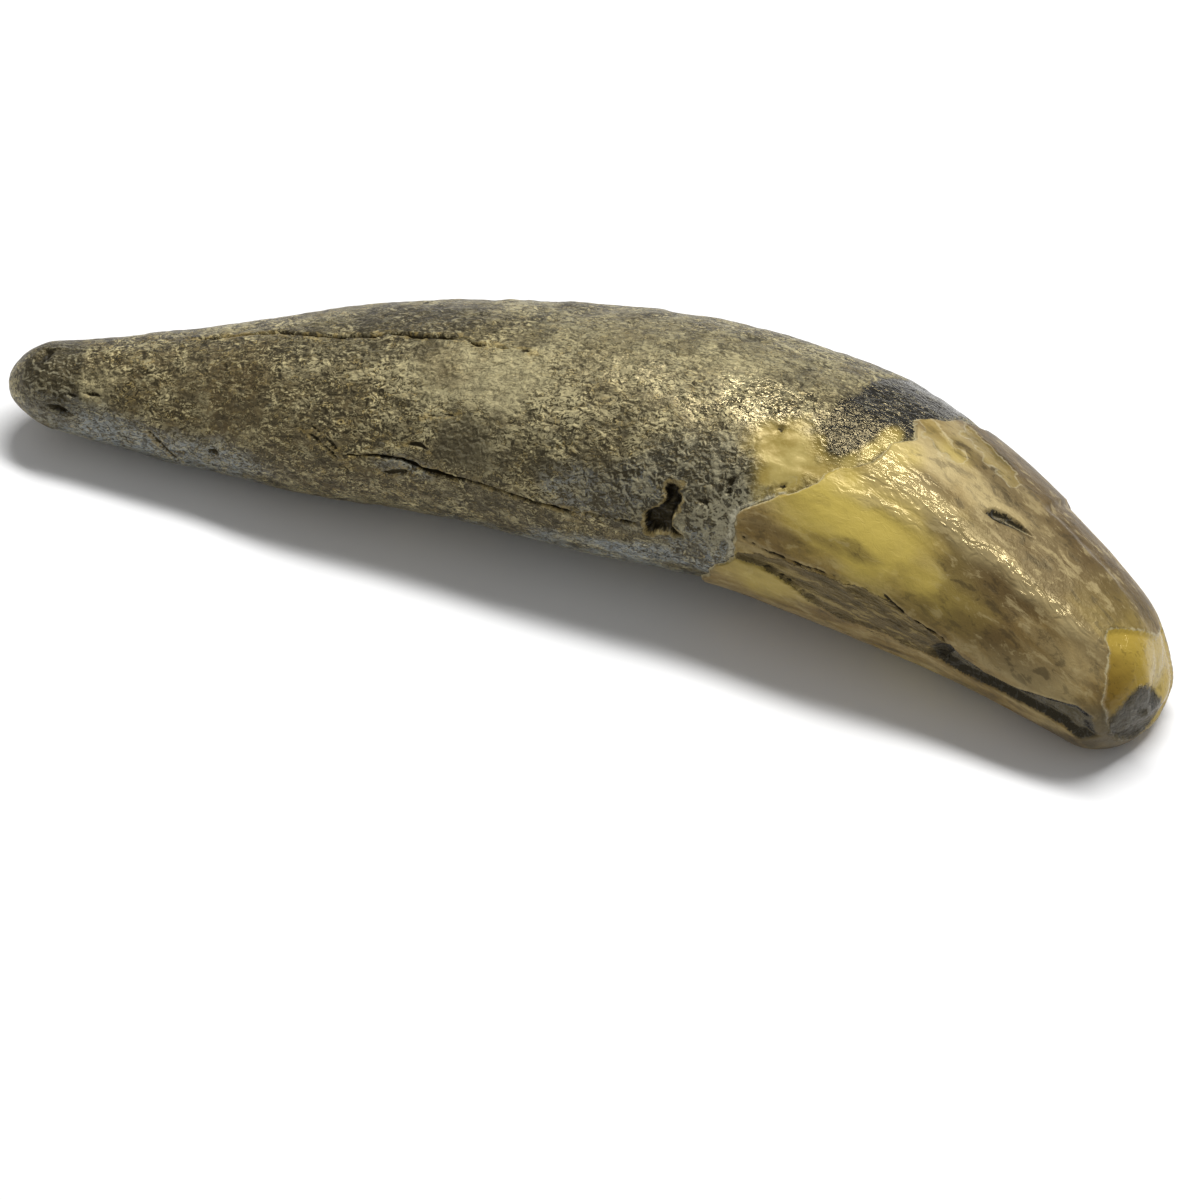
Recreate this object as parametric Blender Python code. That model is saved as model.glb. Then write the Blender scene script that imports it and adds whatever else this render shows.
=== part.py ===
"""Fossil canine tooth of a cave bear, lying on its flat side.

The tooth is one solid: oval sections carried along a bowed centreline, with the enamel edge, the worn strip,
the pits and the chipped tip worked into its surface. Root to the left (-X), crown to the right (+X), outer
curve towards +Y. Lengths are millimetres and angles degrees until the mesh is made, which is in metres.

A place on the surface is (along, around): millimetres along the centreline from the root's end, and degrees
round the section, where 0 is the outer curve (+Y), 90 the top, 180 the inner curve and 270 the underside.
"""

import bpy
import numpy as np

MM = 0.001

# The centreline seen from above: (x, y bow, half width of the tooth across the bow).
STATIONS = (
    (-62.0, 1.25, 3.60),
    (-57.0, 2.25, 4.35),
    (-50.0, 3.50, 5.75),
    (-42.0, 5.00, 7.35),
    (-32.0, 6.50, 9.45),
    (-20.0, 8.45, 11.35),
    (-8.0, 9.50, 12.60),
    (4.0, 10.00, 13.20),
    (16.0, 9.00, 13.05),
    (26.0, 6.60, 12.10),
    (34.0, 3.90, 10.40),
    (41.0, 0.85, 8.85),
    (47.0, -2.25, 7.10),
    (51.0, -4.50, 5.60),
)
# How thick the tooth is, top to underside, as a share of its width: (x, share).
THICKNESS = ((-62.0, 0.98), (-40.0, 0.84), (-10.0, 0.76), (20.0, 0.78), (40.0, 0.81), (54.0, 0.86))
ROOT_X, TIP_X = -62.0, 50.5
ROOT_ROUND, ROOT_POWER = 5.0, 2.1  # the root's end is a dome this long
TIP_ROUND, TIP_POWER = 4.0, 2.4  # the crown is worn off blunt, with a rounded rim
ROOT_LIFT, ROOT_LIFT_FROM, ROOT_LIFT_LENGTH = 2.2, -38.0, 22.0  # the root's end stands clear of the floor
REST_CUT = 0.3  # the underside is worn flat this deep where it rests

# The enamel's edge round the neck: (around, along). Past it, towards the tip, the enamel stands proud.
ENAMEL_EDGE = (
    (0, 90.5), (25, 90.3), (42, 89.3), (50, 87.8), (60, 87.3), (71, 85.9), (82, 86.2), (92, 85.1),
    (103, 84.9), (112, 82.3), (124, 81.0), (134, 78.2), (140, 76.6), (146, 75.3), (160, 75.0),
    (171, 75.4), (182, 73.4), (200, 71.5), (214, 71.2), (228, 74.2), (240, 77.0), (252, 77.6), (263, 80.2),
    (275, 84.0), (289, 84.4), (303, 86.0), (316, 88.8), (330, 88.5), (345, 90.4),
)
ENAMEL_RISE, ENAMEL_SLOPE = 0.45, 0.6
NECK = 82.0  # where that edge lies on average
NECK_WAIST, WAIST_LENGTH = 0.35, 9.0  # the tooth under the enamel is this much slimmer than the root

# The strip along the inner curve where the enamel is gone, which deepens into a groove near the tip:
# (along, around at its middle, half width in degrees, depth).
STRIP = (
    (75.0, 169, 0.5, 0.0), (79.0, 167.5, 4, 0.3), (82.0, 168.5, 7, 0.4), (86.0, 172, 10, 0.45),
    (90.0, 171.5, 11.5, 0.45), (94.0, 171, 11, 0.5), (98.0, 174, 8.5, 0.8), (101.0, 177, 8, 1.0),
    (104.0, 178, 7, 1.1), (107.0, 177, 8, 1.1), (110.0, 172, 11, 0.9), (112.5, 166, 14, 0.5),
    (114.5, 160, 16, 0.0),
)

# The ridge along the crown's upper face: (along, around, height).
RIDGE = (
    (82.0, 106, 0.0), (87.0, 107, 0.35), (94.0, 109, 0.5), (102.0, 108, 0.5), (108.0, 108, 0.4),
    (113.0, 104, 0.0),
)
RIDGE_WIDTH = 13.0

# Hollows in the surface: (along, around, half length, half width in mm, turn in degrees, depth).
HOLLOWS = (
    (67.6, 148, 1.2, 1.6, 0, 1.5),
    (66.8, 163, 1.7, 2.0, -25, 1.7),
    (70.6, 147, 0.7, 0.9, 0, 0.8),
    (73.0, 138, 0.7, 1.1, 0, 0.7),
    (98.2, 85.5, 2.3, 0.6, -18, 0.7),
    (21.2, 173, 0.7, 0.6, 0, 0.6),
    (4.0, 84, 1.3, 0.8, 20, 0.5),
    (5.3, 160, 1.2, 0.7, 30, 0.5),
    (38.0, 262, 2.6, 1.2, 15, 0.9),
    (60.0, 318, 1.8, 1.2, -30, 0.8),
    (70.5, 30, 1.5, 1.0, 10, 0.7),
)

# A flake lost from the enamel's outer face, sharp at its root end: (along from, to, around from, to, depth).
FLAKE = (98.2, 112.0, -32, 62, 0.35)
# The chip at the tip, where the enamel is off and the dentine shows. Its middle, size and depth are on the
# tip seen end on: millimetres from the pole towards the outer curve, towards the top, then the half sizes.
TIP_CHIP = (0.2, 5.0, 3.6, 4.2, 0.6)
# The worn bevel on the tip's outer corner: (around, half width in degrees, full within this distance of the
# pole in mm, gone at this distance, depth).
TIP_BEVEL = (30, 56, 6.0, 12.0, 1.0)

# Gentle unevenness: (size of a lump, height, seed) over the whole tooth, then on the root alone.
LUMPS = ((16.0, 0.30, 3), (6.0, 0.12, 5))
ROOT_LUMPS = ((3.2, 0.12, 7),)

ROWS, COLUMNS = 94, 52
TOOTH_COLOUR, TOOTH_ROUGHNESS = (0.17, 0.14, 0.08, 1.0), 0.45


def spline(table, column, at):
    """A natural cubic spline through one column of a table, against its first column."""
    knots = np.array([row[0] for row in table], float)
    values = np.array([row[column] for row in table], float)
    gaps = np.diff(knots)
    matrix, right = np.eye(len(knots)), np.zeros(len(knots))
    for i in range(1, len(knots) - 1):
        matrix[i, i - 1 : i + 2] = gaps[i - 1], 2 * (gaps[i - 1] + gaps[i]), gaps[i]
        right[i] = 6 * ((values[i + 1] - values[i]) / gaps[i] - (values[i] - values[i - 1]) / gaps[i - 1])
    bends = np.linalg.solve(matrix, right)
    k = np.clip(np.searchsorted(knots, at) - 1, 0, len(knots) - 2)
    before = (knots[k + 1] - at) / gaps[k]
    after = (at - knots[k]) / gaps[k]
    bent = (before**3 - before) * bends[k] + (after**3 - after) * bends[k + 1]
    return before * values[k] + after * values[k + 1] + bent * gaps[k] ** 2 / 6


def smooth(low, high, value):
    """0 below low, 1 above high, and an S-curve between."""
    t = np.clip((value - low) / (high - low), 0, 1)
    return t * t * (3 - 2 * t)


def turned(around, middle):
    """Degrees from middle round to around, from -180 to 180."""
    return (around - middle + 180) % 360 - 180


def lump_noise(points, size, seed):
    """Smooth noise from -1 to 1: hashed values on a cubic lattice of this size, blended between corners."""
    scaled = points / size + 101.3
    cell = np.floor(scaled).astype(np.int64)
    part = scaled - cell
    part = part * part * (3 - 2 * part)
    total = np.zeros(points.shape[:-1])
    for corner in np.ndindex(2, 2, 2):
        x, y, z = ((cell + corner)[..., axis].astype(np.uint64) for axis in range(3))
        mixed = x * np.uint64(73856093) ^ y * np.uint64(19349663) ^ z * np.uint64(83492791)
        mixed = (mixed + np.uint64(seed * 7919)) * np.uint64(2654435761) & np.uint64(0xFFFFFFFF)
        mixed = (mixed ^ mixed >> np.uint64(15)) * np.uint64(2246822519) & np.uint64(0xFFFFFFFF)
        value = (mixed ^ mixed >> np.uint64(13)).astype(float) / 0xFFFFFFFF
        share = np.prod(np.where(corner, part, 1 - part), axis=-1)
        total += value * share
    return 2 * total - 1


def enamel_edge(around):
    """Where the enamel begins along the tooth, at this place round the section."""
    edge = np.array(ENAMEL_EDGE + ((360 + ENAMEL_EDGE[0][0], ENAMEL_EDGE[0][1]),), float)
    return np.interp(around, edge[:, 0], edge[:, 1])


def end_rounding(along, whole):
    """What the half width is multiplied by: 1 along the tooth, and down to 0 over the dome at each end."""
    from_root = np.clip(along / ROOT_ROUND, 0, 1)
    from_tip = np.clip((whole - along) / TIP_ROUND, 0, 1)
    root_end = (1 - (1 - from_root) ** ROOT_POWER) ** (1 / ROOT_POWER)
    return root_end * (1 - (1 - from_tip) ** TIP_POWER) ** (1 / TIP_POWER)


def centreline():
    """Fine steps along the centreline: x, y, length so far, half width, thickness share, end rounding."""
    x = np.linspace(ROOT_X, TIP_X, 4001)
    y = spline(STATIONS, 1, x)
    length = np.concatenate([[0], np.cumsum(np.hypot(np.diff(x), np.diff(y)))])
    return x, y, length, spline(STATIONS, 2, x), spline(THICKNESS, 1, x), end_rounding(length, length[-1])


def base_surface(rows, columns):
    """The smooth tooth as a grid of points, with each point's along, around and distance from the tip over
    the end. Rows are even along the profile, which runs in to a point at both ends. They are closer on the
    crown, and they bend round the neck with the enamel's edge, so that the ledge there is a clean step."""
    x, y, length, width, share, rounding = centreline()
    radius = width * rounding
    profile = np.concatenate([[0], np.cumsum(np.hypot(np.diff(length), np.diff(radius)))])
    wanted = 1 + 0.6 * smooth(58, 66, length) + 2.0 * np.exp(-(((length - NECK - 0.2) / 1.0) ** 2))
    weight = np.concatenate([[0], np.cumsum(0.5 * (wanted[1:] + wanted[:-1]) * np.diff(profile))])
    step = np.interp(np.linspace(0, weight[-1], rows), weight, profile)
    fine = np.linspace(0, 360, 3601)
    closer = 1 + 1.1 * np.exp(-((turned(fine, 165) / 34) ** 2))
    turn = np.concatenate([[0], np.cumsum(0.5 * (closer[1:] + closer[:-1]))])
    around = np.interp(np.linspace(0, turn[-1], columns, endpoint=False), turn, fine)[None, :]

    along = np.interp(step, profile, length)[:, None]
    along = along + (enamel_edge(around) - NECK) * smooth(45, NECK, along) * (1 - smooth(NECK, 110, along))
    across = np.interp(along, length, width)
    share = np.interp(along, length, share)
    way_x = np.interp(along, length, np.gradient(x, length))
    way_y = np.interp(along, length, np.gradient(y, length))
    row_x, row_y = np.interp(along, length, x), np.interp(along, length, y)
    middle_z = across * share + ROOT_LIFT * np.clip((ROOT_LIFT_FROM - row_x) / ROOT_LIFT_LENGTH, 0, 1) ** 2
    across = across * end_rounding(along, length[-1])
    cosine, sine = np.cos(np.radians(around)), np.sin(np.radians(around))
    outer, upper = across * cosine, across * share * sine
    points = np.stack([row_x - outer * way_y, row_y + outer * way_x, middle_z + upper], axis=-1)
    return points, along, around, (profile[-1] - step)[:, None]


def outward(points):
    """Unit normals of the grid, pointing out. The end rows, which are points, take the way the tooth ends."""
    lengthways = np.gradient(points, axis=0)
    round_way = np.roll(points, -1, axis=1) - np.roll(points, 1, axis=1)
    normal = np.cross(round_way, lengthways)
    normal[0], normal[-1] = points[0, 0] - points[2].mean(axis=0), points[-1, 0] - points[-3].mean(axis=0)
    return normal / np.linalg.norm(normal, axis=2, keepdims=True)


def relief(points, along, around, from_tip):
    """How far the surface stands out (or in, below 0) from the smooth tooth, in millimetres."""
    radius = spline(STATIONS, 2, np.interp(along, (0, 115.5), (ROOT_X, TIP_X)))
    rise = sum(height * lump_noise(points, size, seed) for size, height, seed in LUMPS)

    past_edge = along - enamel_edge(around)
    enamel = smooth(0, ENAMEL_SLOPE, past_edge)
    rise = rise + ENAMEL_RISE * enamel - NECK_WAIST * smooth(-WAIST_LENGTH, 1, past_edge)
    for size, height, seed in ROOT_LUMPS:
        rise = rise + (1 - enamel) * height * lump_noise(points, size, seed)

    places = np.array(STRIP, float).T
    middle, half, depth = (np.interp(along, places[0], column) for column in places[1:])
    inside = 1 - smooth(0.55, 1.0, np.abs(turned(around, middle)) / half)
    rise = rise - depth * inside * (along > STRIP[0][0]) * (along < STRIP[-1][0])

    places = np.array(RIDGE, float).T
    middle, height = (np.interp(along, places[0], column) for column in places[1:])
    off = turned(around, middle) / RIDGE_WIDTH
    rise = rise + height * (np.exp(-(off**2)) - 0.45 * np.exp(-((off / 2.4) ** 2)))

    for place, angle, half_length, half_width, tilt, deep in HOLLOWS:
        over = along - place
        up = np.radians(turned(around, angle)) * radius
        c, s = np.cos(np.radians(tilt)), np.sin(np.radians(tilt))
        reach = np.hypot((over * c + up * s) / half_length, (up * c - over * s) / half_width)
        rise = rise - deep * (1 - smooth(0.45, 1.15, reach))

    start, stop, low, high, deep = FLAKE
    spread = turned(around, (low + high) / 2) / ((high - low) / 2)
    flaked = smooth(start, start + 1.0, along) * (1 - smooth(stop - 8, stop, along))
    rise = rise - deep * flaked * (1 - smooth(0.8, 1.05, np.abs(spread)))

    outer, upper = from_tip * np.cos(np.radians(around)), from_tip * np.sin(np.radians(around))
    chip_x, chip_y, half_x, half_y, deep = TIP_CHIP
    reach = np.hypot((outer - chip_x) / half_x, (upper - chip_y) / half_y)
    rise = rise - deep * (1 - smooth(0.85, 1.15, reach))
    angle, half, near, far, deep = TIP_BEVEL
    beside = 1 - smooth(0.2, 1.0, np.abs(turned(around, angle)) / half)
    return rise - deep * beside * smooth(0, 3, from_tip) * (1 - smooth(near, far, from_tip))


def tooth_mesh():
    """The grid with its relief, flat where it rests, closed with a point at each end, centred on its box."""
    points, along, around, from_tip = base_surface(ROWS, COLUMNS)
    points = points + outward(points) * relief(points, along, around, from_tip)[..., None]
    points[..., 2] = np.maximum(points[..., 2], REST_CUT) - REST_CUT
    ring = points[1:-1]
    ends = np.stack([points[0].mean(axis=0), points[-1].mean(axis=0)])
    vertices = np.concatenate([ring.reshape(-1, 3), ends])
    low, high = vertices.min(axis=0), vertices.max(axis=0)
    vertices[:, :2] -= (low[:2] + high[:2]) / 2

    rows = len(ring)
    here = np.arange(rows * COLUMNS).reshape(rows, COLUMNS)
    beside = np.roll(here, -1, axis=1)
    quads = np.stack([here[:-1], beside[:-1], beside[1:], here[1:]], axis=-1).reshape(-1, 4)
    root_point, tip_point = rows * COLUMNS, rows * COLUMNS + 1
    root_fan = np.stack([np.full(COLUMNS, root_point), beside[0], here[0]], axis=-1)
    tip_fan = np.stack([np.full(COLUMNS, tip_point), here[-1], beside[-1]], axis=-1)
    faces = quads.tolist() + root_fan.tolist() + tip_fan.tolist()
    mesh = bpy.data.meshes.new("tooth")
    mesh.from_pydata((vertices * MM).tolist(), [], faces)
    mesh.validate()
    mesh.shade_smooth()
    return mesh


def tooth_material():
    """Fossil tooth: stone-hard, olive brown, with a low polish."""
    material = bpy.data.materials.new("fossil_tooth")
    material.use_nodes = True
    shader = material.node_tree.nodes["Principled BSDF"]
    shader.inputs["Base Color"].default_value = TOOTH_COLOUR
    shader.inputs["Roughness"].default_value = TOOTH_ROUGHNESS
    shader.inputs["Metallic"].default_value = 0.0
    return material


def main():
    for old in list(bpy.data.objects):
        bpy.data.objects.remove(old)
    collection = bpy.data.collections.new("cave_bear_tooth")
    bpy.context.scene.collection.children.link(collection)
    mesh = tooth_mesh()
    mesh.materials.append(tooth_material())
    collection.objects.link(bpy.data.objects.new("tooth", mesh))


main()
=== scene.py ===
import bpy
import numpy as np
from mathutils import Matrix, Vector


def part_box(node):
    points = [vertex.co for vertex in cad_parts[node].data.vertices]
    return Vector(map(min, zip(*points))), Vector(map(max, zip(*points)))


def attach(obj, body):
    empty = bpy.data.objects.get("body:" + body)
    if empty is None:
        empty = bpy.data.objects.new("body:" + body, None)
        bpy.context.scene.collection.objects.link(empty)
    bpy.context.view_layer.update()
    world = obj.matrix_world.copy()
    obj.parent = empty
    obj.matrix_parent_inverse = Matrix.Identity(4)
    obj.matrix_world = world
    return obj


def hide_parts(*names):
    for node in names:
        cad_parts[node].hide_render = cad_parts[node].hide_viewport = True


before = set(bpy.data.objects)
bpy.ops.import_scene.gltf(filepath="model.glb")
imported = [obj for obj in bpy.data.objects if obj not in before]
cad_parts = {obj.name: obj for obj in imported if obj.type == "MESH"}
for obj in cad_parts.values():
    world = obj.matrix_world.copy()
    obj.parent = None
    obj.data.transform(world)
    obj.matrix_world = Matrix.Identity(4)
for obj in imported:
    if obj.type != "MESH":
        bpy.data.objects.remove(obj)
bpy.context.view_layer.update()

# A place on the tooth is (along, around): millimetres along the centreline from the root's end, and degrees
# round the section, where 0 is the outer curve, 90 the top, 180 the inner curve and 270 the underside.

tooth = {
    # centreline from above: x, bow, half width of the tooth across the bow
    "stations": (
        (-62.0, 1.25, 3.60), (-57.0, 2.25, 4.35), (-50.0, 3.50, 5.75), (-42.0, 5.00, 7.35),
        (-32.0, 6.50, 9.45), (-20.0, 8.45, 11.35), (-8.0, 9.50, 12.60), (4.0, 10.00, 13.20),
        (16.0, 9.00, 13.05), (26.0, 6.60, 12.10), (34.0, 3.90, 10.40), (41.0, 0.85, 8.85),
        (47.0, -2.25, 7.10), (51.0, -4.50, 5.60),
    ),
    "thickness": ((-62.0, 0.98), (-40.0, 0.84), (-10.0, 0.76), (20.0, 0.78), (40.0, 0.81), (54.0, 0.86)),
    "ends": (-62.0, 50.5),
    "rootDome": (5.0, 2.1),  # length and power of the rounding at each end
    "tipDome": (4.0, 2.4),
    "rootLift": (2.2, -38.0, 22.0),  # the root's end stands clear of the floor
    "restCut": 0.3,  # worn flat where it rests
    "neck": 82.0,
    "enamelRise": 0.38,
    "waist": (0.35, 9.0),  # how much the root draws in below the enamel, and over what length
    "edgeRagged": (0.55, 2.2),  # how far the enamel's edge wanders, and over what length
    "rows": 500,
    "columns": 198,
    "closer": {"crown": 0.3, "edge": 2.4, "top": 0.9, "crack": 3.2},  # how much closer rows or columns are
    "crackAround": (82, 162),  # where the columns bunch up for the two long cracks
}

# heights and depths on the surface, in mm; a pair is a depth and how rough its floor is
relief = {
    "waves": ((0.30, 16, 3), (0.12, 6, 5)),  # height, length and seed of the low waves all over
    "rootLumps": 0.10,
    "rootGrain": 0.07,
    "rootWear": 0.06,
    "enamelWaves": 0.07,
    "enamelGrain": 0.025,
    "crumbs": (0.28, 156, 34),  # height, where they lie thickest and how far to either side, in degrees
    "bareStrip": (0.32, 0.10),
    "groove": 0.85,
    "chip": (0.34, 0.03),
    "wornTip": (1.0, 30, 56, 6, 12),  # depth, middle and half width in degrees, fades this far from the tip
    "scar": 0.13,
    "flake": (0.38, 15, 47, 98.4, 104, 112),  # depth, middle, half width, where it starts and fades
    "bigPit": (1.25, 0.25),
    "pitLip": 0.10,
    "smallPit": 0.5,
    "longCrack": 0.7,
    "lowerCrack": 0.6,
    "shortCrack": 0.3,
    "crackLip": 0.03,
}

# the enamel's edge round the neck: around, along
enamelEdge = (
    (0, 90.5), (25, 90.3), (42, 89.3), (50, 87.8), (60, 87.3), (71, 85.9), (82, 86.2), (92, 85.1),
    (103, 84.9), (108, 83.8), (112, 82.3), (117, 81.5), (124, 81), (130, 79.8), (134, 78.2), (140, 76.6),
    (146, 75.3), (158, 75), (165, 75.4), (171, 75.4), (182, 73.4), (200, 71.5), (214, 71.2), (228, 74.2),
    (240, 77), (252, 77.6), (263, 80.2), (275, 84), (289, 84.4), (303, 86), (316, 88.8), (330, 88.5),
    (345, 90.4),
)

# cracks down the root: along, around, half width in mm; grid columns follow the two long ones
longCrack = (
    (17.2, 72, 0.03), (21.4, 75, 0.07), (24, 74, 0.08), (27.1, 78, 0.12), (30.2, 82, 0.14),
    (33.9, 84, 0.15), (37.3, 83, 0.2), (40.1, 86, 0.17), (43.5, 87, 0.17), (46.8, 91, 0.1),
    (48.4, 91, 0.03),
)
lowerCrack = (
    (33.2, 157, 0.04), (34.2, 158, 0.08), (37.2, 156, 0.14), (40, 156, 0.16), (42.2, 160, 0.18),
    (46.3, 162, 0.09), (50, 164, 0.07), (53.7, 166, 0.08), (57.4, 168, 0.06), (61.1, 166, 0.05),
    (64, 167, 0.02),
)
shortCracks = (
    ((37.4, 166, 0.03), (38.6, 166, 0.2), (40, 164, 0.2), (41.2, 163, 0.03)),
    ((39.4, 148, 0.03), (40.4, 146, 0.16), (41.6, 146, 0.14), (42.6, 148, 0.03)),
    ((29.6, 142, 0.03), (31.4, 149, 0.08), (33, 157, 0.08), (34.6, 169, 0.03)),
    ((30.8, 141, 0.02), (32.4, 148, 0.06), (34, 157, 0.06), (35.4, 168, 0.02)),
    ((14.6, 164, 0.04), (15.6, 174, 0.12), (16.8, 188, 0.12), (17.6, 200, 0.05)),
    ((41.4, 131, 0.02), (42.4, 129, 0.08), (44, 128, 0.08), (45, 128, 0.02)),
    ((48.6, 90, 0.02), (50, 92, 0.09), (51.4, 93, 0.03)),
    ((20, 268, 0.03), (30, 262, 0.14), (42, 266, 0.16), (52, 261, 0.05)),
    ((26, 330, 0.03), (36, 326, 0.1), (47, 331, 0.13), (60, 327, 0.04)),
    ((50, 18, 0.02), (58, 22, 0.09), (66, 20, 0.03)),
)
crownCracks = (
    (
        (76.1, 158, 0.05), (79.3, 161, 0.07), (82.8, 161, 0.07), (88.7, 158, 0.06), (91.9, 156, 0.07),
        (95, 162, 0.08), (98.7, 164, 0.05),
    ),
    ((75.9, 170, 0.05), (80.5, 171, 0.06), (84.7, 178, 0.05), (88.4, 186, 0.05), (92.8, 185, 0.04)),
    ((88, 200, 0.02), (96, 206, 0.05), (106, 204, 0.03)),
    ((92, 285, 0.02), (100, 282, 0.05), (110, 286, 0.03)),
    ((90, 330, 0.02), (98, 333, 0.05), (107, 330, 0.03)),
)

# outlines drawn on the surface: along, around
bareStrip = (
    (75.7, 167), (78.9, 164), (81.9, 162), (86.1, 161), (89.8, 159), (91.7, 158), (94, 160), (95.9, 163),
    (97.6, 165), (99.7, 166), (99.6, 182), (98.1, 182), (95.2, 184), (93.3, 182), (90.5, 183), (87.7, 184),
    (84.9, 181), (82.4, 175), (79.1, 171), (75.7, 171),
)
groove = (
    (97.6, 178), (98.3, 171), (99.7, 166), (100.9, 170), (103.3, 173), (106.9, 170), (110.2, 161),
    (112.5, 153), (113.9, 156), (114.5, 180), (113.6, 190), (111.9, 181), (108.3, 183), (104.7, 184),
    (101.1, 186), (98.9, 183),
)
bigPit = (
    (66.7, 142), (68, 143), (68.3, 148), (68.1, 154), (68, 159), (67.8, 163), (68.5, 166), (69.4, 168),
    (67.6, 168), (65.5, 170), (64.9, 165), (65.3, 160), (66.4, 155), (66.8, 150), (66.3, 146),
)
smallPits = (
    ((69.7, 148), (70.4, 146), (71.2, 146), (71.6, 150), (70.8, 149)),
    ((72.8, 133), (73.5, 132), (73.3, 137), (73.7, 141), (72.9, 141), (72.6, 137)),
    ((95.8, 92), (96.1, 87), (97.2, 84), (98.5, 83), (100.3, 84), (99.3, 86), (98, 89), (96.8, 92)),
    ((3, 100), (3, 84), (3.6, 74), (4.5, 80), (4.3, 92), (3.8, 101)),
    ((6.2, 140), (6.7, 136), (7.8, 138), (7.2, 142)),
    ((8, 134), (9.2, 132), (9.8, 135), (8.8, 138)),
    ((4.6, 156), (5.6, 153), (6.6, 158), (5.8, 165)),
    ((20.7, 172), (21.4, 170), (21.9, 173), (21.2, 176)),
    ((21.4, 102), (21.9, 102), (21.9, 105), (21.4, 105)),
    ((78, 128.6), (78.6, 128), (78.8, 130.4), (78.2, 131)),
    ((75.5, 105), (76, 105), (76, 107), (75.5, 107)),
    ((36.2, 258), (38.6, 255), (40.4, 260), (39.2, 266), (37, 265)),
    ((58.6, 314), (60.2, 311), (61.6, 318), (60.4, 323), (59, 320)),
    ((24, 300), (25.4, 298), (25.8, 304), (24.6, 306)),
)
neckStain = (
    (79.9, 109), (79.2, 104), (79.5, 94), (79.2, 84), (80, 75), (81, 64), (81.3, 50), (81.7, 34),
    (82.5, 18), (84, 14), (86.5, 20), (87.2, 31), (86.9, 54), (85.9, 66), (86, 78), (85.4, 84), (84, 81),
    (83.1, 92), (83.6, 100), (83.1, 107), (81.4, 110),
)
dentinePatch = (
    (74.1, 118), (74, 108), (75.6, 105), (77.3, 101), (79.3, 106), (80.6, 111), (83, 110), (83, 116),
    (80.5, 124), (78.6, 132), (76.2, 136), (75.4, 130), (75.4, 124),
)
darkMottle = (
    (64.5, 128), (67.6, 117), (70.6, 113), (74, 117), (75.4, 125), (75.6, 133), (76, 141), (75, 148),
    (75.2, 160), (75.2, 168), (71, 176), (65, 176), (61, 170), (58.5, 160), (58, 148), (61.5, 140),
)
flakeScars = (
    ((85.9, 72), (86.1, 66), (88, 69), (89.8, 72), (91.2, 74), (91.2, 79), (89.4, 81), (87.5, 78)),
    ((88.6, 50), (90.5, 52), (93.5, 56), (96.4, 61), (95.4, 68), (93.3, 68), (91.2, 64), (89.4, 62)),
    ((90, 262), (93, 255), (97, 259), (95.5, 270), (92, 272)),
)
# ridges along the crown: half width in degrees; then along, around, height
ridges = (
    (12, (82, 104, 0), (87, 105, 0.3), (94, 106, 0.4), (102, 106, 0.4), (108, 107, 0.32), (113, 104, 0)),
    (6.5, (84, 104, 0), (88, 106, 0.05), (94, 108, 0.05), (102, 109, 0.05), (108, 109, 0.04), (112, 108, 0)),
    (5, (81, 119, 0), (85, 120, 0.2), (91, 118, 0.2), (95, 116, 0)),
)
crestPath = ((80, 101), (88, 105), (96, 109), (112, 109))  # the shiny crest along the crown

# the chipped tip seen end on: mm from its middle towards the outer curve and towards the top
tipChip = (
    (7.6, 4.6), (5.6, 5.7), (3.9, 7.5), (2.2, 8.9), (0.8, 9.9), (-0.4, 10.2), (-1.5, 9.7), (-1.9, 8.6),
    (-2.7, 7.6), (-3.4, 6.6), (-4.2, 5.4), (-4.6, 4.2), (-4.6, 1.8), (-3.8, -0.8), (-1.8, -2.6),
    (0.8, -3.2), (4.2, -3), (7.6, -1.2), (9.2, 2), (9.6, 4.8),
)
tipStain = (
    (-3, 3.2), (-1.6, 4.2), (0.2, 4), (1.7, 2.2), (2.6, -0.4), (1.8, -2.6), (-0.6, -2.9), (-3, -1.6),
    (-4.2, 0.2), (-4, 2),
)
# soft colour on the chip, the amber one a painted shade darkening its lower left: middle, share of the way
# up, where it is full and gone, how far it wanders
tipGlow = {"tipAmberPaintedShade": (-4.2, 4.6, 1, 0.5, 6, 0.8), "tipEdge": (3.4, 2, 0.5, 0.3, 2.6, 0.6)}
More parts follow.
